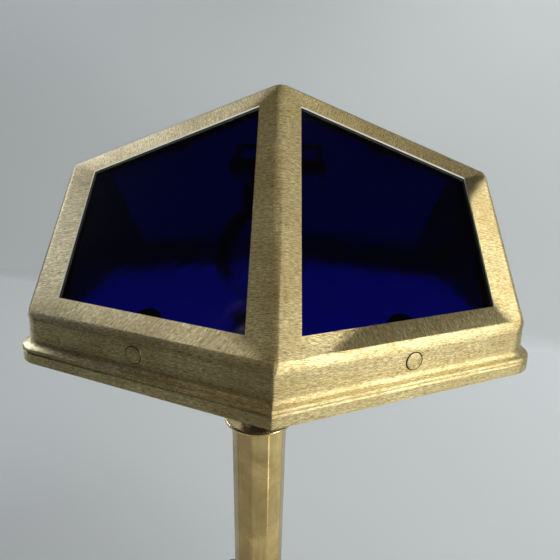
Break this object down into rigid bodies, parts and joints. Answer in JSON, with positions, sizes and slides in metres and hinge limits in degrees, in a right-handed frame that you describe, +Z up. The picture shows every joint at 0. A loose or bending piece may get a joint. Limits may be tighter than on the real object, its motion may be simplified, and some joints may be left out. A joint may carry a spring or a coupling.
{
  "type": "table lamp",
  "caption": "Table lamp with a tilting pressed brass hood of cobalt glass panes, sprung on the bulb, over a ten-sided brass stem and stepped foot.",
  "frame": {"origin": "where the stem's axis meets the table, at the underside of the felt pad", "axes": "+Z up along the stem, -Y to the front ridge of the hood, +X to the right"},
  "size_m": [0.2022, 0.2148, 0.3533],
  "materials": {
    "shade_brass": "brushed satin, lightly tarnished in the cove",
    "stem_brass": "satin with soft blotchy patina",
    "holder_brass": "satin",
    "clip_brass": "dull, aged",
    "cobalt_glass": "deep transparent cobalt, glossy",
    "bulb_glass": "clear to slightly frosted",
    "cap_metal": "satin",
    "steel": "satin",
    "iron": "rough",
    "porcelain": "smooth white porcelain",
    "black_plastic": "matt",
    "felt": "green baize"
  },
  "bodies": {
    "lamp": {"felt_pad": "felt", "base_plate": "steel", "base_screws": "steel", "base_ballast": "iron", "base_foot": "stem_brass", "foot_ring": "stem_brass", "cord_bushing": "black_plastic", "base_nut": "steel", "base_washer": "steel", "stem_rod": "steel", "stem_column": "stem_brass", "top_collar": "stem_brass", "collar_nut": "steel", "lampholder_cap": "holder_brass", "lampholder_shell": "holder_brass", "lampholder_insulator": "porcelain", "centre_contact": "holder_brass", "side_contact": "holder_brass", "terminal_screws": "steel", "bulb_cap": "cap_metal", "bulb_tip": "black_plastic", "bulb_glass": "bulb_glass", "bulb_mount": "bulb_glass", "bulb_filament": "steel"},
    "switch": {"switch_spindle": "holder_brass", "switch_key": "holder_brass"},
    "bulb_clip": {"clip_hub": "clip_brass", "clip_fingers": "clip_brass"},
    "shade": {"hip_clip_left": "clip_brass", "hip_clip_right": "clip_brass", "pane_front_left": "cobalt_glass", "sill_clip_front_left": "clip_brass", "rivet_front_left": "shade_brass", "pane_front_right": "cobalt_glass", "sill_clip_front_right": "clip_brass", "rivet_front_right": "shade_brass", "pane_rear_left": "cobalt_glass", "sill_clip_rear_left": "clip_brass", "rivet_rear_left": "shade_brass", "pane_rear_right": "cobalt_glass", "sill_clip_rear_right": "clip_brass", "rivet_rear_right": "shade_brass", "shade_shell": "shade_brass", "shade_bridge": "clip_brass", "pivot_pin": "steel", "pivot_nut": "steel", "pin_spacer_short": "clip_brass", "pin_spacer_long": "clip_brass"}
  },
  "joints": [
    {"name": "key_turn", "type": "hinge", "parent": "lamp", "child": "switch", "pos_m": [0.024, 0, 0.214], "axis": [1, 0, 0], "range_deg": [0, 90]},
    {"name": "shade_turn", "type": "hinge", "parent": "lamp", "child": "bulb_clip", "pos_m": [0, 0, 0.272], "axis": [0, 0, 1], "continuous": true},
    {"name": "shade_tilt", "type": "hinge", "parent": "bulb_clip", "child": "shade", "pos_m": [0, 0, 0.314], "axis": [1, 0, 0], "range_deg": [-20, 20]}
  ]
}
